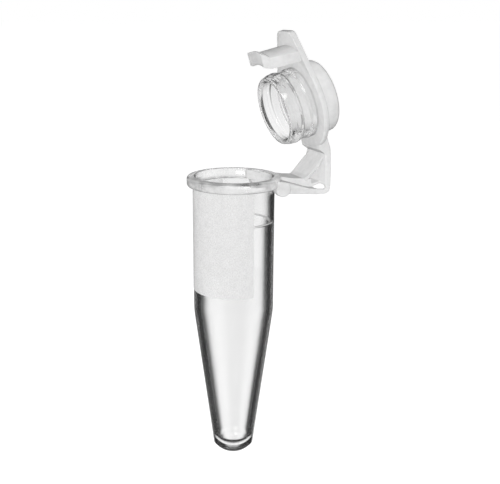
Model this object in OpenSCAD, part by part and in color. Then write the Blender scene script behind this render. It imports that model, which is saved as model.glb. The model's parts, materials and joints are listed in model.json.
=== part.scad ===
// Microcentrifuge tube, 1.5 mL, with a locking hinged lid.
// Millimetres. The origin is the centre of the mouth at the collar's top, +Z points out of the
// mouth along the tube's axis and +X points to the hinge. The lid is drawn shut, over the mouth,
// and lid_side() swings it about the hinge axis to its resting opening.

/* [Tube body] */
// Outside radius of the straight upper body
body_r = 5.4; // [5.3:0.05:5.5]
// Length of the straight upper body, from the collar's top to the cone
straight_len = 18.5; // [17:0.5:20]
// Overall length, from the collar's top to the tip
tube_len = 39.8; // [39.4:0.1:40.5]
// Depth of the shoulder where the cone meets the rounded tip
shoulder_depth = 38.3; // [38:0.1:38.6]
// Outside radius at that shoulder
shoulder_r = 2.8; // [2.6:0.05:3]

/* [Cavity] */
// Radius of the mouth at its rim
mouth_r = 5.15; // [5:0.05:5.2]
// Length of the mouth's short straight rim
rim_h = 0.3; // [0.2:0.05:0.4]
// Depth where the flare below that rim ends
flare_depth = 0.8; // [0.6:0.1:1]
// Radius of the sealing seat that the plug slides into
seat_r = 4.9; // [4.88:0.01:4.95]
// Depth of the sealing seat's lower end
seat_depth = 5.8; // [5:0.1:6.5]
// Radius of the straight cavity below the seat
cavity_r = 4.6; // [4.4:0.05:4.7]
// Depth where the conical cavity meets its rounded bottom
cavity_shoulder_depth = 36.9; // [36.5:0.1:37.2]
// Radius of the cavity at that depth
cavity_shoulder_r = 2.1; // [1.9:0.05:2.2]
// Depth of the cavity's lowest point
cavity_depth = 38.2; // [38:0.1:38.5]

/* [Collar and writing panel] */
// Outside radius of the collar
collar_r = 6.2; // [6:0.05:6.25]
// Height of the collar
collar_h = 1.37; // [1.2:0.05:1.45]
// Rounding of the collar's outer edges
collar_round = 0.35; // [0.2:0.05:0.5]
// Half the angle that the frosted writing panel wraps around the body
panel_half_angle = 96; // [60:1:110]
// Depth of the panel's upper edge
panel_top = 1.5; // [1.45:0.05:3]
// Depth of the panel's lower edge
panel_bottom = 15.4; // [12:0.1:17]
// Depth of the frosted skin, which is flush with the body
panel_t = 0.04; // [0.02:0.01:0.05]

/* [Hinge] */
// Distance of the folding axis from the tube's axis
hinge_x = 10.83; // [10.8:0.01:10.9]
// Height of the folding axis
hinge_z = -1.72; // [-1.75:0.01:-1.7]
// Opening of the lid at rest, from shut
lid_open = 73.8; // [60:0.1:90]
// Half width of the hinge's root at the collar
root_half_w = 4.5; // [4.3:0.1:4.7]
// Half width of the hinge at its folded corner
fold_half_w = 3.8; // [3.5:0.1:4.1]
// Half width of the hinge where it joins the lid plate
lid_root_half_w = 2.7; // [2.6:0.1:3.2]
// Half width of the fold's middle: the ridge, the spring web and the inner skin
middle_half_w = 2.1; // [1.9:0.1:2.3]
// Half the distance between the two thin bands that make the fold
band_inner_y = 3.1; // [2.5:0.1:3.3]
// Thickness of the strap at the fold
fold_t = 0.72; // [0.6:0.02:0.8]

/* [Lid] */
// Radius of the lid plate
plate_r = 6.3; // [6.25:0.05:6.4]
// Thickness of the lid plate
plate_t = 0.75; // [0.7:0.05:0.9]
// Radius of the raised crown
crown_r = 4.89; // [4.8:0.01:5]
// Height of the crown's top above the lid plate's inner face
crown_top = 3.4; // [3.2:0.02:3.6]
// Thickness of the crown's roof
crown_roof = 0.8; // [0.6:0.05:1]
// Radius of the lid's hollow, through the plug and up into the crown
lid_hollow_r = 4.0; // [3.9:0.05:4.1]
// Gap between the shut lid plate and the collar's top
lid_gap = 0.02; // [0.01:0.01:0.05]

/* [Sealing plug] */
// Length of the plug below the lid plate
plug_len = 4.03; // [3.8:0.01:4.1]
// Radius of the plug at its root
plug_root_r = 4.75; // [4.7:0.01:4.78]
// Radius of the plug's waist, behind the bead
plug_waist_r = 4.6; // [4.55:0.01:4.65]
// Largest radius of the sealing bead
bead_r = 4.83; // [4.82:0.005:4.84]
// Depth of the sealing bead below the lid plate
bead_depth = 2.6; // [2.4:0.05:2.8]

/* [Latch and lift lip] */
// Distance of the lip's tip from the lid's centre
lip_tip = 9.5; // [9.2:0.1:9.9]
// Half the distance between the lip's two rounded corners
lip_corner_y = 1.3; // [1:0.1:1.6]
// Inner radius of the latch apron
apron_inner_r = 6.6; // [6.55:0.05:6.7]
// Outer radius of the latch apron at its root
apron_outer_r = 7.75; // [7.6:0.05:7.9]
// Reach of the latch apron below the lid plate
apron_len = 4.7; // [4.5:0.1:4.9]
// Radius that the catch reaches in to, under the collar
catch_r = 6.0; // [5.9:0.05:6.05]
// Thickness of the bead along the apron's free end
end_bead_t = 0.3; // [0.2:0.05:0.35]

/* [Hidden] */
$fn = 96;

// A dome of this radius fills a rim of radius r with a bulge of height sag.
function dome_r(r, sag) = (r * r + sag * sag) / (2 * sag);

// Points along an arc about c, from angle a0 to a1.
function arc(c, r, a0, a1, steps = 8) =
    [for (i = [0:steps]) let (a = a0 + (a1 - a0) * i / steps) [c[0] + r * cos(a), c[1] + r * sin(a)]];

// Length that makes sure a cutting tool passes through.
past = 1;
// Height of the short step between the seat and the cavity
step_h = 0.3;
cone_len = shoulder_depth - straight_len;
cone_slope = (body_r - shoulder_r) / cone_len;
cavity_cone_len = cavity_shoulder_depth - straight_len;
cavity_slope = (cavity_r - cavity_shoulder_r) / cavity_cone_len;

// Side outline of the hinge's tube half, as [x, z] in the XZ plane
strap_inside_x = 3.2;
strap_inside_z = -0.1;
strap_root_top = [6.0, -0.7];
strap_root_low = [6.0, -2.1];
strap_bend_top = [9.3, -1.75];
fold_start_x = 10.6;
fold_low_z = -2.66;
fold_top_z = fold_low_z + fold_t;
ridge_top = [[6.2, -0.3], [7.9, -0.62], [9.4, -0.74], [10.45, -0.86]];

lug_x = 5.2;
lug_r = 1.0;
lug_rise = 0.6;
lug_inner_y = 3.3;

// The fold's rounded corner, and the height where the lid's strap takes over
fold_round = 0.85;
fold_outer_x = 12.4;
fold_corner = [fold_outer_x - fold_round, fold_low_z + fold_round];
fold_end_z = -1.6;

// Side outline of the hinge's lid half, as [x, z] with the lid shut
lid_strap_top = [[4.6, 1.5], [6.6, 1.6], [7.9, 1.28], [9.3, 0.72]];
lid_strap_low = [7.2, 0.7];
// How far up the lid's strap, and how far along the ridge, the web's ends are thickened
web_root = 0.15;
web_foot = 0.45;
// Where the inner skin joins the ridge's end, and where it joins the lid's strap
skin_z = -1.66;
skin_root = 0.08;

plate_top = lid_gap + plate_t;
plate_round = 0.25;
crown_round = 0.7;
plug_end = lid_gap - plug_len;
plug_lip_round = 0.22;
plug_mouth_r = 4.5;
plug_shoulder = 0.8;
waist_end = 2.0;
waist_ramp = 0.2;
bead_round = 0.5;
lip_round = 1.0;
apron_flare = 0.2;
apron_root_half_w = 3.2;
apron_side_half_w = 2.9;
apron_end_half_w = 2.1;
apron_corner_h = 0.8;
apron_chamfer = 0.15;
catch_half_w = 1.8;
catch_top = -collar_h - 0.05;
catch_face_h = 0.2;
catch_ramp_h = 0.8;
end_bead_h = 0.75;
end_bead_half_w = 1.9;

// Maps a point [x, z] of the shut lid to its resting place, and back.
function swing(p, a) =
    let (dx = p[0] - hinge_x, dz = p[1] - hinge_z)
    [hinge_x + dx * cos(a) + dz * sin(a), hinge_z - dx * sin(a) + dz * cos(a)];
fold_end_outer = [fold_outer_x, fold_end_z];
fold_end_inner = [fold_outer_x - fold_t, fold_end_z];

// Swings what is drawn shut to the lid's resting opening.
module lid_side() {
    translate([hinge_x, 0, hinge_z])
        rotate([0, lid_open, 0])
            translate([-hinge_x, 0, -hinge_z]) children();
}

// A plate with this outline in the XZ plane, from y0 to y1.
module slab(outline, y0, y1) {
    translate([0, y1, 0]) rotate([90, 0, 0]) linear_extrude(y1 - y0) polygon(outline);
}

// The same plate on both sides of the XZ plane, between these half widths.
module twin_slab(outline, inner_y, outer_y) {
    slab(outline, inner_y, outer_y);
    slab(outline, -outer_y, -inner_y);
}

// A ring or sector on the -X side, drawn from a profile of [r, z] and this half angle.
module front_sector(half_angle) {
    rotate([0, 0, 180 - half_angle]) rotate_extrude(angle = 2 * half_angle) children();
}

// A tapered cup shape that ends in a dome: the body's outside, and its cavity.
module test_tube(r, straight, slope, shoulder, end_r, depth) {
    sag = depth - shoulder;
    ball_r = dome_r(end_r, sag);
    taper_len = depth - straight + past;
    translate([0, 0, -straight]) cylinder(r = r, h = straight);
    intersection() {
        translate([0, 0, -straight - taper_len])
            cylinder(r1 = r - slope * taper_len, r2 = r, h = taper_len);
        union() {
            translate([0, 0, ball_r - depth]) sphere(r = ball_r);
            translate([0, 0, -shoulder]) cylinder(r = r + past, h = shoulder - straight);
        }
    }
}

module tube_body() {
    color([0.90, 0.93, 0.94, 0.45])
        difference() {
            test_tube(body_r, straight_len, cone_slope, shoulder_depth, shoulder_r, tube_len);
            test_tube(cavity_r, straight_len, cavity_slope, cavity_shoulder_depth,
                      cavity_shoulder_r, cavity_depth);
            translate([0, 0, -seat_depth - step_h])
                cylinder(r1 = cavity_r, r2 = seat_r, h = step_h);
            translate([0, 0, -seat_depth]) cylinder(r = seat_r, h = seat_depth + past);
            translate([0, 0, -flare_depth])
                cylinder(r1 = seat_r, r2 = mouth_r, h = flare_depth - rim_h);
            translate([0, 0, -rim_h]) cylinder(r = mouth_r, h = rim_h + past);
            panel_skin(panel_t + past);
        }
}

module collar() {
    flat_h = collar_h - 2 * collar_round;
    color([0.88, 0.90, 0.91, 0.7])
        rotate_extrude() {
            translate([body_r, -collar_h]) square([collar_r - collar_round - body_r, collar_h]);
            translate([body_r, -collar_h + collar_round]) square([collar_r - body_r, flat_h]);
            for (z = [-collar_round, collar_round - collar_h])
                translate([collar_r - collar_round, z]) circle(r = collar_round);
        }
}

// A thin sector of the body's wall, of this thickness outward from the skin's inner face.
module panel_skin(thickness) {
    front_sector(panel_half_angle)
        translate([body_r - panel_t, -panel_bottom]) square([thickness, panel_bottom - panel_top]);
}

module frosted_panel() {
    color([0.93, 0.94, 0.94, 0.9]) panel_skin(panel_t);
}

// What the hinge's root leaves free: the collar, and the way below it into a rack's hole.
module tube_outside() {
    translate([0, 0, -straight_len]) cylinder(r = collar_r, h = straight_len + past);
}

// Seen from above, a band that narrows from half width w0 at x0 to w1 at x1.
module tapered_band(x0, w0, x1, w1) {
    tall = 40;
    translate([0, 0, -tall / 2])
        linear_extrude(tall)
            polygon([
                [strap_inside_x, -w0], [x0, -w0], [x1, -w1], [x1 + past, -w1],
                [x1 + past, w1], [x1, w1], [x0, w0], [strap_inside_x, w0]
            ]);
}

// The hinge's tube half: a band that thins to the fold, and a raised ridge that carries the web.
module base_strap() {
    band = [
        [strap_inside_x, strap_inside_z], strap_root_top, strap_bend_top, [fold_start_x, fold_top_z],
        [fold_start_x, fold_low_z], strap_root_low, [strap_inside_x, strap_root_low[1]]
    ];
    ridge_low_z = fold_top_z - 0.1;
    ridge = concat(
        [[strap_inside_x, strap_inside_z]],
        ridge_top,
        [[ridge_top[3][0], ridge_low_z], [strap_inside_x, ridge_low_z]]
    );
    color([0.88, 0.89, 0.90, 0.8])
        difference() {
            intersection() {
                union() {
                    slab(band, -root_half_w, root_half_w);
                    slab(ridge, -middle_half_w, middle_half_w);
                }
                tapered_band(strap_root_top[0], root_half_w, fold_start_x, fold_half_w);
            }
            tube_outside();
        }
}

// Two rounded lugs that stiffen the strap's root, below the collar.
module root_lugs() {
    lug_w = root_half_w - lug_inner_y;
    color([0.86, 0.88, 0.89, 0.8])
        difference() {
            for (side = [-1, 1])
                translate([lug_x, side * (lug_inner_y + root_half_w) / 2, strap_root_low[1] + lug_rise])
                    rotate([90, 0, 0]) cylinder(r = lug_r, h = lug_w, center = true);
            translate([0, -root_half_w - past, strap_root_low[1]])
                cube([2 * lug_x, 2 * (root_half_w + past), 2 * lug_r]);
            tube_outside();
        }
}

// Two thin bands, one at each side, that fold when the lid moves.
module hinge_folds() {
    outline = concat(
        [[fold_start_x, fold_low_z]],
        arc(fold_corner, fold_round, -90, 0),
        [fold_end_outer, fold_end_inner],
        arc(fold_corner, fold_round - fold_t, 0, -90),
        [[fold_start_x, fold_top_z]]
    );
    color([0.86, 0.87, 0.88, 0.8]) twin_slab(outline, band_inner_y, fold_half_w);
}

// The central web cuts across the hinge's corner and snaps the lid open or shut. Below it a short
// inner skin closes the middle of the fold.
module hinge_web() {
    web_low = ridge_top[2];
    ridge_end = ridge_top[3];
    web_high = swing(lid_strap_low, lid_open);
    web = [
        web_low, web_high, web_high + web_root * (fold_end_inner - web_high),
        web_low + web_foot * (ridge_end - web_low)
    ];
    bend_top = strap_bend_top;
    band_slope = (fold_top_z - bend_top[1]) / (fold_start_x - bend_top[0]);
    skin = [
        [ridge_end[0], skin_z], fold_end_inner + skin_root * (web_high - fold_end_inner),
        fold_end_inner, [fold_start_x, fold_top_z],
        [ridge_end[0], bend_top[1] + band_slope * (ridge_end[0] - bend_top[0])]
    ];
    half_w = middle_half_w - 0.1;
    color([0.90, 0.91, 0.92, 0.7]) {
        slab(web, -half_w, half_w);
        slab(skin, -half_w, half_w);
    }
}

// The hinge's lid half: a band whose root rides over the lid plate's edge.
module lid_strap() {
    end_outer = swing(fold_end_outer, -lid_open);
    end_inner = swing(fold_end_inner, -lid_open);
    root_x = lid_strap_top[0][0];
    root_low_x = 6.4;
    outline = concat(
        lid_strap_top,
        [end_outer, end_inner, lid_strap_low, [root_low_x, lid_gap], [root_x, lid_gap]]
    );
    color([0.88, 0.89, 0.90, 0.8])
        lid_side()
            difference() {
                intersection() {
                    slab(outline, -fold_half_w, fold_half_w);
                    tapered_band(lid_strap_low[0], lid_root_half_w, end_outer[0], fold_half_w);
                }
                translate([0, 0, plate_top - 4 * plate_t]) cylinder(r = plate_r, h = 4 * plate_t);
                cylinder(r = crown_r, h = crown_top);
            }
}

module lid_plate() {
    color([0.90, 0.91, 0.92, 0.75])
        lid_side()
            rotate_extrude() {
                translate([lid_hollow_r, lid_gap])
                    square([plate_r - plate_round - lid_hollow_r, plate_t]);
                translate([plate_r - plate_round, lid_gap + plate_round])
                    square([plate_round, plate_t - 2 * plate_round]);
                for (z = [lid_gap + plate_round, plate_top - plate_round])
                    translate([plate_r - plate_round, z]) circle(r = plate_round);
            }
}

// A raised round cap with a hollow that continues the plug's.
module lid_crown() {
    top = lid_gap + crown_top;
    color([0.90, 0.91, 0.92, 0.75])
        lid_side()
            difference() {
                rotate_extrude() {
                    translate([0, plate_top]) square([crown_r, top - crown_round - plate_top]);
                    translate([0, plate_top]) square([crown_r - crown_round, top - plate_top]);
                    translate([crown_r - crown_round, top - crown_round]) circle(r = crown_round);
                }
                cylinder(r = lid_hollow_r, h = top - crown_roof);
            }
}

module sealing_plug() {
    outline = [
        [lid_hollow_r, lid_gap], [plug_root_r, lid_gap], [plug_root_r, lid_gap - plug_shoulder],
        [plug_waist_r, lid_gap - plug_shoulder - waist_ramp], [plug_waist_r, lid_gap - waist_end],
        [plug_root_r, lid_gap - waist_end - waist_ramp], [plug_root_r, plug_end + plug_shoulder],
        [plug_mouth_r, plug_end + plug_lip_round], [plug_mouth_r - plug_lip_round, plug_end],
        [lid_hollow_r + plug_lip_round, plug_end], [lid_hollow_r, plug_end + plug_lip_round]
    ];
    color([0.92, 0.94, 0.95, 0.5]) lid_side() rotate_extrude() polygon(outline);
}

module seal_bead() {
    color([0.92, 0.94, 0.95, 0.6])
        lid_side()
            rotate_extrude()
                difference() {
                    translate([bead_r - bead_round, lid_gap - bead_depth]) circle(r = bead_round);
                    translate([bead_r - 2 * bead_round - past, -plug_len])
                        square([plug_root_r - bead_r + 2 * bead_round + past, plug_len]);
                }
}

module lift_lip() {
    color([0.90, 0.91, 0.92, 0.8])
        lid_side()
            difference() {
                translate([0, 0, lid_gap])
                    linear_extrude(plate_t)
                        hull() {
                            circle(r = plate_r - plate_round);
                            for (y = [-lip_corner_y, lip_corner_y])
                                translate([lip_round - lip_tip, y]) circle(r = lip_round, $fn = 48);
                        }
                cylinder(r = plate_r, h = 4 * plate_t, center = true);
            }
}

// The apron's outline seen along X: it narrows to its free end.
module apron_sides() {
    outline = [
        [-apron_root_half_w, lid_gap], [-apron_side_half_w, apron_corner_h - apron_len],
        [-apron_end_half_w, -apron_len], [apron_end_half_w, -apron_len],
        [apron_side_half_w, apron_corner_h - apron_len], [apron_root_half_w, lid_gap]
    ];
    rotate([90, 0, -90]) linear_extrude(2 * apron_outer_r) polygon(outline);
}

module latch_apron() {
    end_outer_r = apron_outer_r + apron_flare;
    color([0.89, 0.90, 0.91, 0.85])
        lid_side()
            intersection() {
                front_sector(40)
                    polygon([
                        [apron_inner_r, lid_gap], [apron_outer_r, lid_gap], [end_outer_r, -apron_len],
                        [apron_inner_r + apron_chamfer, -apron_len],
                        [apron_inner_r, -apron_len + 2 * apron_chamfer]
                    ]);
                apron_sides();
            }
}

// The ridge on the apron's inside that hooks under the collar.
module latch_catch() {
    half_angle = asin(catch_half_w / apron_inner_r);
    color([0.87, 0.89, 0.90, 0.85])
        lid_side()
            front_sector(half_angle)
                polygon([
                    [apron_inner_r, catch_top], [catch_r, catch_top], [catch_r, catch_top - catch_face_h],
                    [apron_inner_r, catch_top - catch_ramp_h]
                ]);
}

// The rounded bead along the apron's free end, where a thumb pushes it off the collar.
module latch_end_bead() {
    end_outer_r = apron_outer_r + apron_flare;
    slope = apron_flare / (apron_len + lid_gap);
    half_angle = asin(end_bead_half_w / end_outer_r);
    color([0.86, 0.88, 0.89, 0.9])
        lid_side()
            front_sector(half_angle)
                polygon([
                    [end_outer_r, -apron_len],
                    [end_outer_r + end_bead_t, -apron_len],
                    [end_outer_r + end_bead_t, -apron_len + end_bead_h - end_bead_t],
                    [end_outer_r - slope * end_bead_h, -apron_len + end_bead_h]
                ]);
}

tube_body();
collar();
frosted_panel();
base_strap();
root_lugs();
hinge_folds();
hinge_web();
lid_strap();
lid_plate();
lid_crown();
sealing_plug();
seal_bead();
lift_lip();
latch_apron();
latch_catch();
latch_end_bead();
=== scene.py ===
"""Microcentrifuge tube with a latching lid: the pieces, their materials and the studio, in metres.

Outlines are written in millimetres, as [radius or x, z, corner rounding], and become metres when a
mesh is made. Lid pieces are drawn shut, over the mouth, and then swung to the lid's rest opening.
"""
import json
import math

import bmesh
import bpy
from mathutils import Matrix, Vector

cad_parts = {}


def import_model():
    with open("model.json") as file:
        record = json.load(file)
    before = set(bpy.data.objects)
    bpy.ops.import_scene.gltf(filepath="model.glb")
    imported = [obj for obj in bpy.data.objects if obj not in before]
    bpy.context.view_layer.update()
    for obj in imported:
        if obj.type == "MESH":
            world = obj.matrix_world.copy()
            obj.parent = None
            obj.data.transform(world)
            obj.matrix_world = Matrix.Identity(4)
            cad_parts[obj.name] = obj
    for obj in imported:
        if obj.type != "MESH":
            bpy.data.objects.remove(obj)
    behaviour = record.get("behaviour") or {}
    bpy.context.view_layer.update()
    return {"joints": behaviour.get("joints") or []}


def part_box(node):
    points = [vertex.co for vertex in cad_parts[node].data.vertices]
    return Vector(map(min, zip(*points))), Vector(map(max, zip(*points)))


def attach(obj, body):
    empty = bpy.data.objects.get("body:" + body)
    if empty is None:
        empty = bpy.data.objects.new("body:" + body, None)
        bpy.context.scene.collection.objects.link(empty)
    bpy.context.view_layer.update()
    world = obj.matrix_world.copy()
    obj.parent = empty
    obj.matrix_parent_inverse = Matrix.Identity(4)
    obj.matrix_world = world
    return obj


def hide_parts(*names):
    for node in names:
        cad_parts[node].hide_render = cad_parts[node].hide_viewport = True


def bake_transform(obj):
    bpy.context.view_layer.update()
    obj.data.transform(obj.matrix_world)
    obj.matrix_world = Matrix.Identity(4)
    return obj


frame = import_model()

MM = 0.001
FACETS = 176  # round a lathed piece

# ---- sizes that the frame gives, in millimetres -------------------------------------------------


def box_mm(node):
    lo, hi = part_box(node)
    return lo / MM, hi / MM


TUBE_LO, TUBE_HI = box_mm("tube_body")
COLLAR_LO, COLLAR_HI = box_mm("collar")
BODY_R = TUBE_HI.x
TUBE_LEN = -TUBE_LO.z
COLLAR_R = COLLAR_HI.y
COLLAR_H = -COLLAR_LO.z
PANEL_TOP = -box_mm("frosted_panel")[1].z
PANEL_BOTTOM = -box_mm("frosted_panel")[0].z
PLATE_R = box_mm("lid_plate")[1].y
CROWN_R = box_mm("lid_crown")[1].y

JOINTS = {joint["name"]: joint for joint in frame["joints"]}
HINGE = Vector(JOINTS["lid_hinge"]["pos_m"]) / MM
LID_OPEN = -math.radians(JOINTS["lid_hinge"]["range_deg"][0])

# ---- sizes of the moulding, in millimetres ------------------------------------------------------

STRAIGHT_LEN = 18.5
SHOULDER_R, SHOULDER_DEPTH = 2.8, 38.3
MOUTH_R, RIM_H, FLARE_DEPTH = 5.15, 0.3, 0.8
SEAT_R, SEAT_DEPTH, STEP_H = 4.9, 5.8, 0.3
CAVITY_R = 4.6
CAVITY_SHOULDER_R, CAVITY_SHOULDER_DEPTH, CAVITY_DEPTH = 2.1, 36.9, 38.2
PANEL_HALF_ANGLE = math.radians(96)
PANEL_GAP, PANEL_PROUD = 0.004, 0.04
PANEL_GRAIN, PANEL_WEAR = 0.004, 0.02

LID_GAP, PLATE_T = 0.02, 0.75
PLATE_TOP = LID_GAP + PLATE_T
CROWN_TOP, CROWN_ROOF = 3.42, 0.8
HOLLOW_R = 4.0
PLUG_END = -4.01
BEAD_R, BEAD_DEPTH = 4.83, 2.58

LIP_TIP, LIP_CORNER_Y, LIP_ROUND = 9.5, 1.3, 1.0
LIP_INSET, LIP_LAP, LIP_LAP_ANGLE = 0.12, 0.1, 4  # how its root sits inside the plate's edge

APRON_IN_R, APRON_OUT_R, APRON_FLARE, APRON_LEN = 6.6, 7.75, 0.2, 4.7
APRON_HALF_W, APRON_TAPER, APRON_TAPER_LEN = 3.2, 0.3, 3.9
APRON_CORNER_W, APRON_CORNER_H = 0.75, 0.85
CATCH_R, CATCH_TOP, CATCH_H, CATCH_HALF_W = 6.0, -1.42, 0.85, 1.8
END_BEAD_T, END_BEAD_H = 0.3, 0.75

ROOT_HALF_W, FOLD_HALF_W, LID_ROOT_HALF_W, MIDDLE_HALF_W = 4.5, 3.8, 2.7, 2.1
BAND_INNER_Y = 3.1
FOLD_T, FOLD_CORNER_T = 0.72, 0.6
FOLD_OUTER_X, FOLD_LOW_Z, FOLD_ROUND, FOLD_START_X, FOLD_END_Z = 12.4, -2.66, 0.85, 10.6, -1.6
FOLD_INNER_X = FOLD_OUTER_X - FOLD_T
ROOT_TOP = [(3.6, -0.15), (6.0, -0.7), (9.3, -1.75)]
ROOT_LOW = [(6.0, -2.1), (5.0, -1.6), (3.6, -1.3)]
RIDGE_TOP = [(6.2, -0.3), (7.9, -0.62), (9.4, -0.74), (10.45, -0.86)]
BAND_TOP = [(4.5, 1.5), (6.6, 1.6), (7.9, 1.28), (9.3, 0.72)]
BAND_LOW = [(7.2, 0.7), (6.4, 0.05), (5.5, 0.1), (4.5, 0.3)]
LUG_X, LUG_Z, LUG_R, LUG_MID_Y, LUG_HALF_W = 5.15, -1.5, 1.0, 3.9, 0.6
STRAP_VOXEL = 0.085
MOUTH_CLEAR, HOLLOW_CLEAR = 0.35, 0.3  # how far the strap stays from the seat and the hollow

WEB_LOW, WEB_HIGH = RIDGE_TOP[2], (7.2, 0.75)
WEB_T, WEB_FLARE, WEB_BOW, WEB_INSET = 0.36, 0.35, 0.12, 0.02
# How far the web runs on past both ends and is thicker there, as shares of its length
WEB_LAP, WEB_END = 0.04, 0.12
# How much thicker it gets at its ends, as a share, and how deep it sinks in
WEB_SWELL, WEB_SINK = 0.5, 0.10

# Where a piece that bends leaves one body and joins the next, as [x, z]
STRAP_BEND = (9.4, -2.5), (12.4, 0)
WEB_BEND = (9.6, -0.6), (11.8, 2.3)
APRON_BEND = (-7.2, LID_GAP + 0.1), (-7.2, -1.1)

# ---- light and camera ---------------------------------------------------------------------------

# Where the light tent's white sheet has faded to half, as slopes off the camera's axis
TENT_WIDTH, TENT_HEIGHT = 0.27, 0.7
# How bright that sheet and the dark beside it are
TENT_BRIGHT, TENT_DARK = 1.08, 0.015
# How much brighter the sheet gets downward, per unit of slope
TENT_TILT = 0.6
# How much dimmer the sheet's middle is, over this share of its width
TENT_DIP, TENT_DIP_WIDTH = 0.15, 0.24
# How bright the world is for the camera, and as light on the cloudy parts
WORLD_SEEN, WORLD_LIGHT = 1.0, 0.54
FLOOR_GLOW = 0.5

SUBJECT = (0.003, 0, -0.012)
CAMERA_PLACE = (-42.76, -101.60, 21.29)  # in millimetres
CAMERA_AZIMUTH, CAMERA_PITCH, CAMERA_ROLL = (math.radians(a) for a in (23.956, 15.40, 0.446))
CAMERA_LENS, CAMERA_SENSOR = 61.41, 36


# ---- outlines -----------------------------------------------------------------------------------


def rounded(corners, closed=False):
    """An outline through [u, v, radius] corners, with an arc of that radius at each corner."""
    steps = 6
    points = []
    count = len(corners)
    for i, (u, v, radius) in enumerate(corners):
        here = Vector((u, v))
        if radius <= 0 or (not closed and i in (0, count - 1)):
            points.append(here)
            continue
        before = (Vector(corners[i - 1][:2]) - here).normalized()
        after = (Vector(corners[(i + 1) % count][:2]) - here).normalized()
        half = math.acos(max(-1.0, min(1.0, before.dot(after)))) / 2
        if half > math.pi / 2 - 1e-3:
            points.append(here)
            continue
        reach = radius / math.tan(half)
        centre = here + (before + after).normalized() * (radius / math.sin(half))
        first = here + before * reach - centre
        last = here + after * reach - centre
        turn = first.angle_signed(last)
        for k in range(steps + 1):
            points.append(centre + Matrix.Rotation(-turn * k / steps, 2) @ first)
    return points


def arc(cx, cz, radius, start, end, steps=12):
    """Points on an arc, from angle start to end in degrees."""
    angles = [math.radians(start + (end - start) * k / steps) for k in range(steps + 1)]
    return [Vector((cx + radius * math.cos(a), cz + radius * math.sin(a))) for a in angles]


# ---- meshes -------------------------------------------------------------------------------------


def swing(point):
    """Moves a point of the shut lid to the lid's rest opening."""
    d = Vector(point) - HINGE
    return HINGE + Matrix.Rotation(LID_OPEN, 3, "Y") @ d


def mesh_object(name, verts, faces, lid=False):
    """A mesh from points in millimetres; lid pieces are swung open."""
    if lid:
        verts = [swing(v) for v in verts]
    mesh = bpy.data.meshes.new(name)
    mesh.from_pydata([Vector(v) * MM for v in verts], [], faces)
    mesh.validate()
    bm = bmesh.new()
    bm.from_mesh(mesh)
    bmesh.ops.remove_doubles(bm, verts=bm.verts, dist=1e-8)
    bmesh.ops.recalc_face_normals(bm, faces=bm.faces)
    bm.to_mesh(mesh)
    bm.free()
    obj = bpy.data.objects.new(name, mesh)
    bpy.context.scene.collection.objects.link(obj)
    shade(obj)
    return obj


def shade(obj, smooth_angle=35):
    obj.data.shade_smooth()
    obj.data.set_sharp_from_angle(angle=math.radians(smooth_angle))


def lathe(name, outline, lid=False, closed=False):
    """Turns an outline of [r, z] points round the Z axis. An open outline starts and ends on it."""
    verts, rings = [], []
    for r, z in outline:
        if r < 1e-6:
            rings.append([len(verts)])
            verts.append((0, 0, z))
            continue
        rings.append(list(range(len(verts), len(verts) + FACETS)))
        for k in range(FACETS):
            a = 2 * math.pi * k / FACETS
            verts.append((r * math.cos(a), r * math.sin(a), z))
    pairs = list(zip(rings, rings[1:]))
    if closed:
        pairs.append((rings[-1], rings[0]))
    faces = []
    for a, b in pairs:
        for k in range(FACETS):
            n = (k + 1) % FACETS
            if len(a) == 1:
                faces.append((a[0], b[k], b[n]))
            elif len(b) == 1:
                faces.append((a[k], b[0], a[n]))
            else:
                faces.append((a[k], b[k], b[n], a[n]))
    return mesh_object(name, verts, faces, lid)


def prism(name, outline, low, high, to_xyz, lid=False):
    """A closed plate: the outline's [u, v] points at two levels, each a number or a function of u."""
    count = len(outline)
    verts = []
    for level in (low, high):
        for u, v in outline:
            verts.append(to_xyz(u, v, level(u) if callable(level) else level))
    faces = [tuple(range(count))[::-1], tuple(range(count, 2 * count))]
    faces += [(i, (i + 1) % count, count + (i + 1) % count, count + i) for i in range(count)]
    return mesh_object(name, verts, faces, lid)


def sheet_faces(rows, columns):
    """The faces of a closed sheet: two grids of points, one behind the other, and the rim between."""
    width = columns + 1
    layer = width * (rows + 1)
    faces = []
    for j in range(rows):
        for i in range(columns):
            a = j * width + i
            faces.append((a, a + 1, a + width + 1, a + width))
            faces.append((layer + a, layer + a + width, layer + a + width + 1, layer + a + 1))
    rim = list(range(width))
    rim += [j * width + columns for j in range(1, rows + 1)]
    rim += [rows * width + i for i in range(columns - 1, -1, -1)]
    rim += [j * width for j in range(rows - 1, 0, -1)]
    faces += [(b, a, layer + a, layer + b) for a, b in zip(rim, rim[1:] + rim[:1])]
    return faces


def apply_modifiers(obj):
    graph = bpy.context.evaluated_depsgraph_get()
    mesh = bpy.data.meshes.new_from_object(obj.evaluated_get(graph))
    obj.modifiers.clear()
    old = obj.data
    obj.data = mesh
    mesh.name = obj.name
    bpy.data.meshes.remove(old)


def soften(obj, width, segments=3, angle=30):
    """Rounds the sharp edges, as a mould does."""
    bevel = obj.modifiers.new("bevel", "BEVEL")
    bevel.width = width * MM
    bevel.segments = segments
    bevel.limit_method = "ANGLE"
    bevel.angle_limit = math.radians(angle)
    apply_modifiers(obj)
    shade(obj)


def cut_away(obj, tool):
    cut = obj.modifiers.new("boolean", "BOOLEAN")
    cut.object = tool
    cut.operation = "DIFFERENCE"
    cut.solver = "EXACT"
    apply_modifiers(obj)
    bpy.data.objects.remove(tool)


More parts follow.
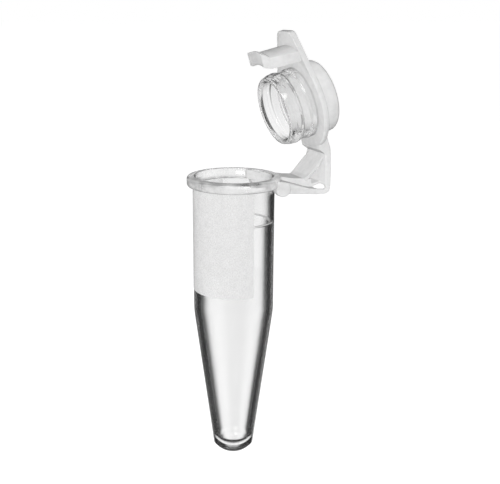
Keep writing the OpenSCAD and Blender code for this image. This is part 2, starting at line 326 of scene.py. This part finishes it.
def fuse(name, parts, voxel, smooth_rounds):
    """One moulded skin over overlapping parts."""
    bm = bmesh.new()
    for part in parts:
        bm.from_mesh(part.data)
    mesh = bpy.data.meshes.new(name)
    bm.to_mesh(mesh)
    bm.free()
    for part in parts:
        bpy.data.objects.remove(part)
    obj = bpy.data.objects.new(name, mesh)
    bpy.context.scene.collection.objects.link(obj)
    remesh = obj.modifiers.new("remesh", "REMESH")
    remesh.mode = "VOXEL"
    remesh.voxel_size = voxel * MM
    smooth = obj.modifiers.new("smooth", "SMOOTH")
    smooth.factor = 0.5
    smooth.iterations = smooth_rounds
    apply_modifiers(obj)
    shade(obj, 180)
    return obj


def cylinder_tool(radius, z0, z1, lid=False):
    outline = [(0, z0), (radius, z0), (radius, z1), (0, z1)]
    return lathe("tool", outline, lid)


# ---- the tube -----------------------------------------------------------------------------------


def dome(radius, shoulder, depth, start_at_axis):
    """A rounded end: the arc from the axis at this depth to this radius at the shoulder's depth."""
    sag = depth - shoulder
    ball = (radius * radius + sag * sag) / (2 * sag)
    edge = math.degrees(math.asin(radius / ball))
    points = arc(0, ball - depth, ball, -90, -90 + edge, 20)
    points[0].x = 0
    return points if start_at_axis else points[::-1]


def tube_outline():
    outside = rounded(
        [
            (SHOULDER_R, -SHOULDER_DEPTH, 0),
            (BODY_R, -STRAIGHT_LEN, 12),
            (BODY_R, -COLLAR_H, 0.12),
            (COLLAR_R, -COLLAR_H, 0.38),
            (COLLAR_R, 0, 0.38),
            (MOUTH_R, 0, 0.16),
            (MOUTH_R, -RIM_H, 0.15),
            (SEAT_R, -FLARE_DEPTH, 0.3),
            (SEAT_R, -SEAT_DEPTH, 0.12),
            (CAVITY_R, -SEAT_DEPTH - STEP_H, 0.15),
            (CAVITY_R, -STRAIGHT_LEN, 12),
            (CAVITY_SHOULDER_R, -CAVITY_SHOULDER_DEPTH, 0),
        ]
    )
    tip = dome(SHOULDER_R, SHOULDER_DEPTH, TUBE_LEN, True)
    well = dome(CAVITY_SHOULDER_R, CAVITY_SHOULDER_DEPTH, CAVITY_DEPTH, False)
    return tip[:-1] + outside + well[1:]


def tube_shell():
    """The tube and its collar in one skin; one closed outline."""
    obj = lathe("tube_shell", tube_outline())
    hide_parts("tube_body", "collar")
    return obj


def haze_collar_paint_ring_highlight(obj, collar_material, painted_highlight_material):
    """The collar's outer faces are hazier, and the seat's lower edge gets a pale material as a
    painted highlight, a fine white ring.
    """
    obj.data.materials.append(collar_material)
    obj.data.materials.append(painted_highlight_material)
    for face in obj.data.polygons:
        middle = face.center / MM
        radius = math.hypot(middle.x, middle.y)
        if radius > BODY_R + 0.02 and middle.z > -COLLAR_H - 0.1:
            face.material_index = 1
        # painted highlight: the faces of the seat's step take the pale frosted material as a white
        # ring
        elif radius < SEAT_R and abs(middle.z + SEAT_DEPTH + STEP_H / 2) < STEP_H * 0.35:
            face.material_index = 2


def frosted_panel():
    """A thin textured skin round the side away from the hinge, with softly worn edges."""
    columns, rows = 120, 60
    verts = []
    for outer in (False, True):
        for j in range(rows + 1):
            z = -PANEL_BOTTOM + (PANEL_BOTTOM - PANEL_TOP) * j / rows
            for i in range(columns + 1):
                a = math.pi + PANEL_HALF_ANGLE * (2 * i / columns - 1)
                edge = i in (0, columns) or j in (0, rows)
                grain = PANEL_GRAIN * math.sin(37 * i + 61 * j * j)
                r = BODY_R + PANEL_GAP
                if outer:
                    r = BODY_R + PANEL_PROUD + (-PANEL_WEAR if edge else grain)
                verts.append((r * math.cos(a), r * math.sin(a), z))
    obj = mesh_object("writing_panel", verts, sheet_faces(rows, columns))
    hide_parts("frosted_panel")
    return obj


# ---- the hinge ----------------------------------------------------------------------------------


def xz_plate(name, outline, low, high, lid=False):
    """A plate with this [x, z] outline, from low to high along Y."""
    return prism(name, outline, low, high, lambda x, z, y: (x, y, z), lid)


def tapered_plate(name, outline, x0, w0, x1, w1, lid=False):
    """A plate whose half width changes evenly from w0 at x0 to w1 at x1."""
    def half_w(x):
        t = max(0.0, min(1.0, (x - x0) / (x1 - x0)))
        return w0 + (w1 - w0) * t
    return xz_plate(name, outline, lambda x: -half_w(x), half_w, lid)


def strap_root():
    """The band that leaves the collar, the ridge on it and the thin skin below the web."""
    top_z = FOLD_LOW_Z + FOLD_T
    root = ROOT_TOP + [(FOLD_START_X, top_z), (FOLD_START_X, FOLD_LOW_Z)] + ROOT_LOW
    ridge = [(4.2, -0.1)] + RIDGE_TOP + [(10.45, -2.2), (6.0, -1.6), (4.2, -1.2)]
    lap_x = FOLD_INNER_X + 0.2
    skin = [(10.2, -1.6), (lap_x, -1.2), (lap_x, -1.52), (FOLD_START_X, -1.9), (10.2, -1.95)]
    return [
        tapered_plate("root", root, 6, ROOT_HALF_W, FOLD_START_X, FOLD_HALF_W),
        xz_plate("ridge", ridge, -MIDDLE_HALF_W, MIDDLE_HALF_W),
        xz_plate("skin", skin, -MIDDLE_HALF_W, MIDDLE_HALF_W),
    ]


def strap_folds():
    """The two bands that fold: out along the strap's end, round a corner and up, one on each side."""
    centre_x, centre_z = FOLD_OUTER_X - FOLD_ROUND, FOLD_LOW_Z + FOLD_ROUND
    start_x, end_z = FOLD_START_X - 0.3, FOLD_END_Z + 0.2
    outline = [(start_x, FOLD_LOW_Z)] + arc(centre_x, centre_z, FOLD_ROUND, -90, 0)
    outline += [(FOLD_OUTER_X, end_z), (FOLD_INNER_X, end_z)]
    outline += arc(centre_x, centre_z, FOLD_ROUND - FOLD_CORNER_T, 0, -90)
    outline.append((start_x, FOLD_LOW_Z + FOLD_T))
    return [
        xz_plate("fold_l", outline, -FOLD_HALF_W, -BAND_INNER_Y),
        xz_plate("fold_r", outline, BAND_INNER_Y, FOLD_HALF_W),
    ]


def lid_band():
    """The lid's half of the strap, drawn shut: from the folds' ends over the plate's edge."""
    shut = Matrix.Rotation(-LID_OPEN, 3, "Y")
    ends = [HINGE + shut @ (Vector((x, 0, FOLD_END_Z)) - HINGE) for x in (FOLD_OUTER_X, FOLD_INNER_X)]
    outline = BAND_TOP + [(end.x, end.z) for end in ends] + BAND_LOW
    return tapered_plate("band", outline, 7.2, LID_ROOT_HALF_W, ends[0].x, FOLD_HALF_W, lid=True)


def root_lugs():
    """The two rounded stiffeners below the strap's root."""
    outline = arc(LUG_X, LUG_Z, LUG_R, 0, 345, 23)
    middles = (-LUG_MID_Y, LUG_MID_Y)
    return [xz_plate("lug", outline, y - LUG_HALF_W, y + LUG_HALF_W) for y in middles]


def hinge_strap():
    """The whole flexible strap in one skin, cut clear of the tube's mouth and the lid's hollow."""
    parts = strap_root() + strap_folds() + [lid_band()] + root_lugs()
    obj = fuse("hinge_strap", parts, STRAP_VOXEL, 5)
    cut_away(obj, cylinder_tool(SEAT_R + MOUTH_CLEAR, -6, 2))
    cut_away(obj, cylinder_tool(HOLLOW_R + HOLLOW_CLEAR, -2, 4, lid=True))
    shade(obj, 45)
    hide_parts("base_strap", "root_lugs", "hinge_folds", "lid_strap")
    return obj


def hinge_web():
    """The central band, thin, flared and slightly bowed, from the ridge to the band on the lid."""
    low = Vector(WEB_LOW)
    high = swing((WEB_HIGH[0], 0, WEB_HIGH[1])).xz
    along = (high - low).normalized()
    across = Vector((along.y, -along.x))
    length = (high - low).length
    steps, columns = 26, 12
    verts = []
    for side in (0, 1):
        for j in range(steps + 1):
            t = -WEB_LAP + (1 + 2 * WEB_LAP) * j / steps
            ends = max(0.0, 1 - min(t, 1 - t) / WEB_END)
            depth = side * WEB_T * (1 + WEB_SWELL * ends) - WEB_SINK * ends
            bow = WEB_BOW * math.sin(math.pi * max(0.0, min(1.0, t)))
            p = low + along * (length * t) + across * (depth + bow)
            flare = WEB_FLARE * max(0.0, math.sin(math.pi * (t * 0.9 + 0.1)))
            half_w = MIDDLE_HALF_W - WEB_INSET + flare
            for i in range(columns + 1):
                verts.append((p.x, half_w * (2 * i / columns - 1), p.y))
    obj = mesh_object("hinge_web", verts, sheet_faces(steps, columns))
    soften(obj, 0.1)
    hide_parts("hinge_web")
    return obj


# ---- the lid ------------------------------------------------------------------------------------


def lid_cap():
    """The plate and its raised, hollow crown, in one skin."""
    outline = rounded(
        [
            (0, CROWN_TOP, 0),
            (CROWN_R, CROWN_TOP, 0.75),
            (CROWN_R, PLATE_TOP, 0.2),
            (PLATE_R, PLATE_TOP, 0.25),
            (PLATE_R, LID_GAP, 0.25),
            (HOLLOW_R, LID_GAP, 0),
            (HOLLOW_R, CROWN_TOP - CROWN_ROOF, 0.5),
            (0, CROWN_TOP - CROWN_ROOF, 0),
        ]
    )
    obj = lathe("lid_cap", outline, lid=True)
    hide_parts("lid_plate", "lid_crown")
    return obj


def sealing_plug():
    """The hollow plug: root, waist, sealing bead and a rounded, narrowed mouth."""
    root_z = LID_GAP + 0.15
    root_r, waist_r = 4.75, 4.6
    outline = rounded(
        [
            (root_r, root_z, 0),
            (root_r, -0.78, 0.3),
            (waist_r, -1.05, 0.3),
            (waist_r, -1.95, 0.3),
            (root_r, -2.2, 0.2),
            (BEAD_R, -BEAD_DEPTH, 0.5),
            (root_r, -3.0, 0.3),
            (root_r, -3.2, 0.5),
            (4.46, PLUG_END, 0.24),
            (HOLLOW_R + 0.06, PLUG_END, 0.2),
            (HOLLOW_R, -3.5, 0.5),
            (HOLLOW_R, root_z, 0),
        ],
        closed=True,
    )
    obj = lathe("sealing_plug", outline, lid=True, closed=True)
    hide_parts("sealing_plug", "seal_bead")
    return obj


def lift_lip():
    """The tab beyond the plate, with its edge on the plate's own circle."""
    corner_x = LIP_ROUND - LIP_TIP
    reach = math.hypot(corner_x, LIP_CORNER_Y)
    plate_r = PLATE_R - LIP_INSET
    lean = math.acos((plate_r - LIP_ROUND) / reach)
    at = math.atan2(LIP_CORNER_Y, -corner_x)
    touch = math.degrees(at + lean)
    corner = arc(corner_x, LIP_CORNER_Y, LIP_ROUND, 180 - touch, 180, 10)
    start = math.radians(180 - touch)
    upper = [Vector((plate_r * math.cos(start), plate_r * math.sin(start)))] + corner
    lower = [Vector((p.x, -p.y)) for p in reversed(upper)]
    root_angle = touch - LIP_LAP_ANGLE
    root = arc(0, 0, plate_r - LIP_LAP, root_angle - 180, -root_angle - 180, 24)
    outline = upper + lower + root
    obj = prism("lift_lip", outline, LID_GAP, PLATE_TOP, lambda x, y, z: (x, y, z), lid=True)
    soften(obj, 0.2, 4)
    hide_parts("lift_lip")
    return obj


def smooth_step(a, b, x):
    t = max(0.0, min(1.0, (x - a) / (b - a)))
    return t * t * (3 - 2 * t)


def apron_section(z):
    """The apron's half width and outside radius at this height, and how far the catch stands out."""
    down, from_end = LID_GAP - z, z + APRON_LEN
    half_w = APRON_HALF_W - APRON_TAPER * down / APRON_TAPER_LEN
    half_w -= APRON_CORNER_W * max(0.0, 1 - from_end / APRON_CORNER_H) ** 1.6
    out_r = APRON_OUT_R + APRON_FLARE * down / APRON_LEN
    out_r += END_BEAD_T * smooth_step(END_BEAD_H + 0.15, 0.35, from_end)
    below_catch = CATCH_TOP - z
    catch = smooth_step(0, 0.1, below_catch) * smooth_step(CATCH_H, 0.2, below_catch)
    return half_w, out_r, catch


def latch():
    """The curved apron, with the catch on its inside and the bead along its free end."""
    levels, columns = 60, 40
    root_z = LID_GAP + 0.25
    inner, outer = [], []
    for j in range(levels + 1):
        z = root_z + (-APRON_LEN - root_z) * j / levels
        half_w, out_r, rise = apron_section(z)
        for i in range(columns + 1):
            y = half_w * (2 * i / columns - 1)
            catch = rise * smooth_step(CATCH_HALF_W, CATCH_HALF_W - 0.25, abs(y))
            in_r = APRON_IN_R - (APRON_IN_R - CATCH_R) * catch
            for points, r in ((inner, in_r), (outer, out_r)):
                points.append((-math.sqrt(r * r - y * y), y, z))
    obj = mesh_object("latch_apron", inner + outer, sheet_faces(levels, columns), lid=True)
    soften(obj, 0.14, 3, 50)
    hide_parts("latch_apron", "latch_catch", "latch_end_bead")
    return obj


# ---- materials ----------------------------------------------------------------------------------


class Nodes:
    """A short way to add shader nodes and join them."""

    def __init__(self, tree):
        self.tree = tree
        tree.nodes.clear()

    def add(self, kind, inputs=None, **settings):
        node = self.tree.nodes.new(kind)
        for key, value in settings.items():
            setattr(node, key, value)
        for key, value in (inputs or {}).items():
            if isinstance(value, bpy.types.NodeSocket):
                self.tree.links.new(value, node.inputs[key])
            else:
                node.inputs[key].default_value = value
        return node

    def math(self, operation, a, b=0.0):
        return self.add("ShaderNodeMath", {0: a, 1: b}, operation=operation).outputs[0]

    def noise(self, scale, detail=2.0, stretch=(1, 1, 1)):
        """Noise over the piece's place in the row frame; scale is in cells per metre."""
        spot = self.add("ShaderNodeTexCoord").outputs["Object"]
        stretched = self.add("ShaderNodeMapping", {"Vector": spot, "Scale": stretch}).outputs[0]
        inputs = {"Vector": stretched, "Scale": scale, "Detail": detail}
        return self.add("ShaderNodeTexNoise", inputs).outputs[0]

    def remap(self, value, low, high):
        """Spreads noise, which mostly runs from 0.3 to 0.7, over low to high."""
        inputs = {"Value": value, "From Min": 0.3, "From Max": 0.7, "To Min": low, "To Max": high}
        return self.add("ShaderNodeMapRange", inputs).outputs[0]

    def mix(self, factor, a, b):
        return self.add("ShaderNodeMixShader", {0: factor, 1: a, 2: b}).outputs[0]

    def grey(self, tone):
        return self.add("ShaderNodeCombineColor", {0: tone, 1: tone, 2: tone}).outputs[0]

    def bump(self, height, strength, distance):
        inputs = {"Height": height, "Strength": strength, "Distance": distance}
        return self.add("ShaderNodeBump", inputs).outputs[0]

    def painted_edge_shade(self, normal, power, amount):
        """Painted shade: up to this amount where the surface is seen edge-on, and 0 where it faces
        the view.
        """
        inputs = {"Blend": 0.5, "Normal": normal}
        facing = self.add("ShaderNodeLayerWeight", inputs).outputs["Facing"]
        return self.math("MULTIPLY", self.math("POWER", facing, power), amount)

    def clear_view(self):
        """1 for a ray that clear plastic bent or mirrored, 0 for any other ray."""
        ray = self.add("ShaderNodeLightPath").outputs
        bent = self.math("MAXIMUM", ray["Is Transmission Ray"], ray["Is Glossy Ray"])
        return self.math("MULTIPLY", bent, self.math("SUBTRACT", 1.0, ray["Is Diffuse Ray"]))

    def fade(self, slope, reach, power):
        """1 straight ahead, half at this slope to either side and 0 far beyond it."""
        off = self.math("ABSOLUTE", self.math("DIVIDE", slope, reach))
        return self.math("DIVIDE", 1.0, self.math("ADD", self.math("POWER", off, power), 1.0))

    def light_tent(self):
        """How bright the studio is the way a ray runs: a tall white sheet ahead of the camera,
        dark to both sides and behind it, so that clear edges turn dark."""
        back = self.add("ShaderNodeNewGeometry").outputs["Incoming"]
        turned = self.add(
            "ShaderNodeVectorTransform", {"Vector": back}, vector_type="VECTOR",
            convert_from="WORLD", convert_to="CAMERA",
        ).outputs[0]
        x, y, depth = self.add("ShaderNodeSeparateXYZ", {0: turned}).outputs[:3]
        ahead = self.math("MAXIMUM", self.math("MULTIPLY", depth, -1.0), 0.02)
        aside = self.math("DIVIDE", x, ahead)
        down = self.math("DIVIDE", y, ahead)
        sheet = self.math("ADD", self.math("MULTIPLY", down, TENT_TILT), 1.0)
        sheet = self.math("MULTIPLY", sheet, self.fade(aside, TENT_WIDTH, 6.0))
        sheet = self.math("MULTIPLY", sheet, self.fade(down, TENT_HEIGHT, 4.0))
        dip = self.math("MULTIPLY", self.fade(aside, TENT_WIDTH * TENT_DIP_WIDTH, 4.0), TENT_DIP)
        glow = self.math("MULTIPLY", sheet, self.math("SUBTRACT", TENT_BRIGHT, dip))
        return self.math("MAXIMUM", glow, TENT_DARK)


def new_material(name):
    material = bpy.data.materials.new(name)
    material.use_nodes = True
    return material, Nodes(material.node_tree)


def finish_material(nodes, shader):
    """Shadow rays and scattered light pass the plastic, so shadows and thick parts stay pale."""
    ray = nodes.add("ShaderNodeLightPath")
    clear = nodes.add("ShaderNodeBsdfTransparent", {"Color": (0.95, 0.95, 0.95, 1)}).outputs[0]
    passing = nodes.math("MAXIMUM", ray.outputs["Is Shadow Ray"], ray.outputs["Is Diffuse Ray"])
    nodes.add("ShaderNodeOutputMaterial", {"Surface": nodes.mix(passing, shader, clear)})


def glass_part(n, tint, roughness, normal, edge):
    """Refracting plastic whose colour is darkened by this much where it is seen edge-on, as painted
    shade for dark edges.
    """
    # painted shade: the base colour is darkened where the surface is seen edge-on
    tone = n.math("MAXIMUM", n.math("SUBTRACT", tint, n.painted_edge_shade(normal, 4.0, edge)), 0.02)
    inputs = {
        "Base Color": n.grey(tone), "Roughness": roughness, "IOR": 1.49,
        "Transmission Weight": 1.0, "Normal": normal,
    }
    return n.add("ShaderNodeBsdfPrincipled", inputs).outputs[0]


def cloudy_part(n, albedo, roughness, normal, through, edge=0.35):
    """Plastic that scatters light: part of it back, and this share of it on through. Where it is
    seen edge-on its colour is darkened by this much, as painted shade."""
    # painted shade: the colour is darkened where the surface is seen edge-on
    tone = n.math("SUBTRACT", albedo, n.painted_edge_shade(normal, 3.0, edge))
    colour = n.grey(tone)
    inputs = {"Base Color": colour, "Roughness": roughness, "IOR": 1.46, "Normal": normal}
    soft = n.add("ShaderNodeBsdfPrincipled", inputs).outputs[0]
    beyond = n.add("ShaderNodeBsdfTranslucent", {"Color": colour}).outputs[0]
    return n.mix(through, soft, beyond)


def clear_plastic():
    """Clear moulded polypropylene: glassy, with faint flow lines and slightly uneven gloss."""
    material, n = new_material("clear_polypropylene")
    flow = n.noise(260, 3, (1, 1, 0.25))
    fine = n.noise(2600, 2)
    height = n.math("ADD", flow, n.math("MULTIPLY", fine, 0.15))
    normal = n.bump(height, 0.25, 0.00006)
    glass = glass_part(n, 0.99, n.remap(fine, 0.02, 0.07), normal, 2.4)
    haze = cloudy_part(n, 0.85, 0.3, normal, 0.7)
    finish_material(n, n.mix(n.remap(flow, 0.005, 0.035), glass, haze))
    return material


def milky_plastic(name, cloud_low, cloud_high, rough):
    """Thicker polypropylene, between glass and soft white and a little uneven."""
    material, n = new_material(name)
    cloud = n.noise(420, 4)
    fine = n.noise(5200, 2)
    height = n.math("ADD", n.math("MULTIPLY", cloud, 0.5), n.math("MULTIPLY", fine, 0.25))
    normal = n.bump(height, 0.3, 0.00005)
    glass = glass_part(n, 0.985, n.remap(fine, rough * 0.8, rough * 1.3), normal, 0.8)
    body = cloudy_part(n, 0.89, 0.34, normal, 0.5, 0.8)
    finish_material(n, n.mix(n.remap(cloud, cloud_low, cloud_high), glass, body))
    return material


def frosted_plastic():
    """The writing panel's fine frosted grain, which hides most of what is behind it."""
    material, n = new_material("frosted_polypropylene")
    grain = n.noise(9000, 3)
    blotch = n.noise(900, 3)
    normal = n.bump(grain, 0.55, 0.00003)
    body = cloudy_part(n, 0.87, 0.62, normal, 0.45)
    clear = n.add("ShaderNodeBsdfTransparent").outputs[0]
    cover = n.math("ADD", n.remap(blotch, 0.64, 0.74), n.remap(grain, -0.16, 0.18))
    finish_material(n, n.mix(cover, clear, body))
    return material


def floor_material():
    """Plain white floor; seen through the plastic it counts as part of the light tent."""
    material, n = new_material("pale_floor")
    speck = n.noise(60, 2)
    tone = n.remap(speck, 0.93, 0.96)
    paper = n.add("ShaderNodeBsdfDiffuse", {"Color": n.grey(tone)}).outputs[0]
    lift = n.add("ShaderNodeEmission", {"Strength": FLOOR_GLOW}).outputs[0]
    lit = n.add("ShaderNodeAddShader", {0: paper, 1: lift}).outputs[0]
    tent = n.add("ShaderNodeEmission", {"Strength": n.light_tent()}).outputs[0]
    n.add("ShaderNodeOutputMaterial", {"Surface": n.mix(n.clear_view(), lit, tent)})
    return material


# ---- the studio ---------------------------------------------------------------------------------


def world():
    """White for the camera, dimmer as light, and the tent for what the clear plastic shows."""
    scene_world = bpy.data.worlds.new("light_tent")
    scene_world.use_nodes = True
    n = Nodes(scene_world.node_tree)
    white = (1, 1, 1, 1)
    strength = n.light_tent()
    tent = n.add("ShaderNodeBackground", {"Color": white, "Strength": strength}).outputs[0]
    seen = n.add("ShaderNodeLightPath").outputs["Is Camera Ray"]
    level = n.math("ADD", n.math("MULTIPLY", seen, WORLD_SEEN - WORLD_LIGHT), WORLD_LIGHT)
    plain = n.add("ShaderNodeBackground", {"Color": white, "Strength": level}).outputs[0]
    n.add("ShaderNodeOutputWorld", {"Surface": n.mix(n.clear_view(), plain, tent)})
    bpy.context.scene.world = scene_world


def softbox(name, spot, size, power):
    """A square area light at this spot, turned to the tube."""
    light = bpy.data.lights.new(name, "AREA")
    light.shape = "SQUARE"
    light.size = size
    light.energy = power
    obj = bpy.data.objects.new(name, light)
    obj.location = spot
    obj.rotation_euler = (Vector(SUBJECT) - Vector(spot)).to_track_quat("-Z", "Y").to_euler()
    bpy.context.scene.collection.objects.link(obj)


def studio():
    world()
    softbox("key_softbox", (-0.16, -0.16, 0.16), 0.12, 0.28)
    softbox("fill_softbox", (0.20, -0.10, 0.05), 0.14, 0.06)
    bpy.ops.mesh.primitive_plane_add(size=6, location=(0, 0, -(TUBE_LEN + 0.05) * MM))
    floor = bpy.context.object
    floor.name = "floor"
    floor.data.materials.append(floor_material())


def camera():
    """A long lens, looking down a little past the tube's mouth, from beside the writing panel."""
    level = Vector((math.sin(CAMERA_AZIMUTH), math.cos(CAMERA_AZIMUTH), 0))
    ahead = level * math.cos(CAMERA_PITCH) - Vector((0, 0, math.sin(CAMERA_PITCH)))
    side = Vector((math.cos(CAMERA_AZIMUTH), -math.sin(CAMERA_AZIMUTH), 0))
    top = side.cross(ahead)
    right = side * math.cos(CAMERA_ROLL) + top * math.sin(CAMERA_ROLL)
    up = top * math.cos(CAMERA_ROLL) - side * math.sin(CAMERA_ROLL)
    data = bpy.data.cameras.new("camera")
    data.sensor_width = CAMERA_SENSOR
    data.lens = CAMERA_LENS
    obj = bpy.data.objects.new("camera", data)
    turn = Matrix((right, up, -ahead)).transposed().to_4x4()
    obj.matrix_world = Matrix.Translation(Vector(CAMERA_PLACE) * MM) @ turn
    bpy.context.scene.collection.objects.link(obj)
    bpy.context.scene.camera = obj
    bpy.context.scene.view_settings.view_transform = "Standard"


# ---- assembly -----------------------------------------------------------------------------------


def dress(obj, material):
    obj.data.materials.clear()
    obj.data.materials.append(material)


def bend(obj, near, far, start, end):
    """Bakes the piece's placement into its mesh; the piece stays as it was built and does not turn.
    near, far, start and end are not used.
    """
    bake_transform(obj)


def assemble():
    clear, frosted = clear_plastic(), frosted_plastic()
    milky = milky_plastic("milky_polypropylene", 0.66, 0.92, 0.12)
    hazy = milky_plastic("hazy_polypropylene", 0.10, 0.85, 0.06)
    thin = milky_plastic("thin_polypropylene", 0.48, 0.80, 0.10)

    tube, panel = tube_shell(), frosted_panel()
    cap, plug, lip = lid_cap(), sealing_plug(), lift_lip()
    strap, web, apron = hinge_strap(), hinge_web(), latch()
    for obj in (tube, plug):
        dress(obj, clear)
    # the frosted material also paints a highlight ring on the seat's step
    haze_collar_paint_ring_highlight(tube, hazy, frosted)
    dress(panel, frosted)
    for obj in (cap, lip, strap, apron):
        dress(obj, milky)
    dress(web, thin)

    for obj in (tube, panel):
        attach(obj, "tube")
    for obj in (cap, plug, lip):
        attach(obj, "lid")
    bend(strap, "tube", "lid", *((x, 0, z) for x, z in STRAP_BEND))
    bend(web, "tube", "lid", *((x, 0, z) for x, z in WEB_BEND))
    bend(apron, "lid", "latch", *(swing((x, 0, z)) for x, z in APRON_BEND))


assemble()
studio()
camera()
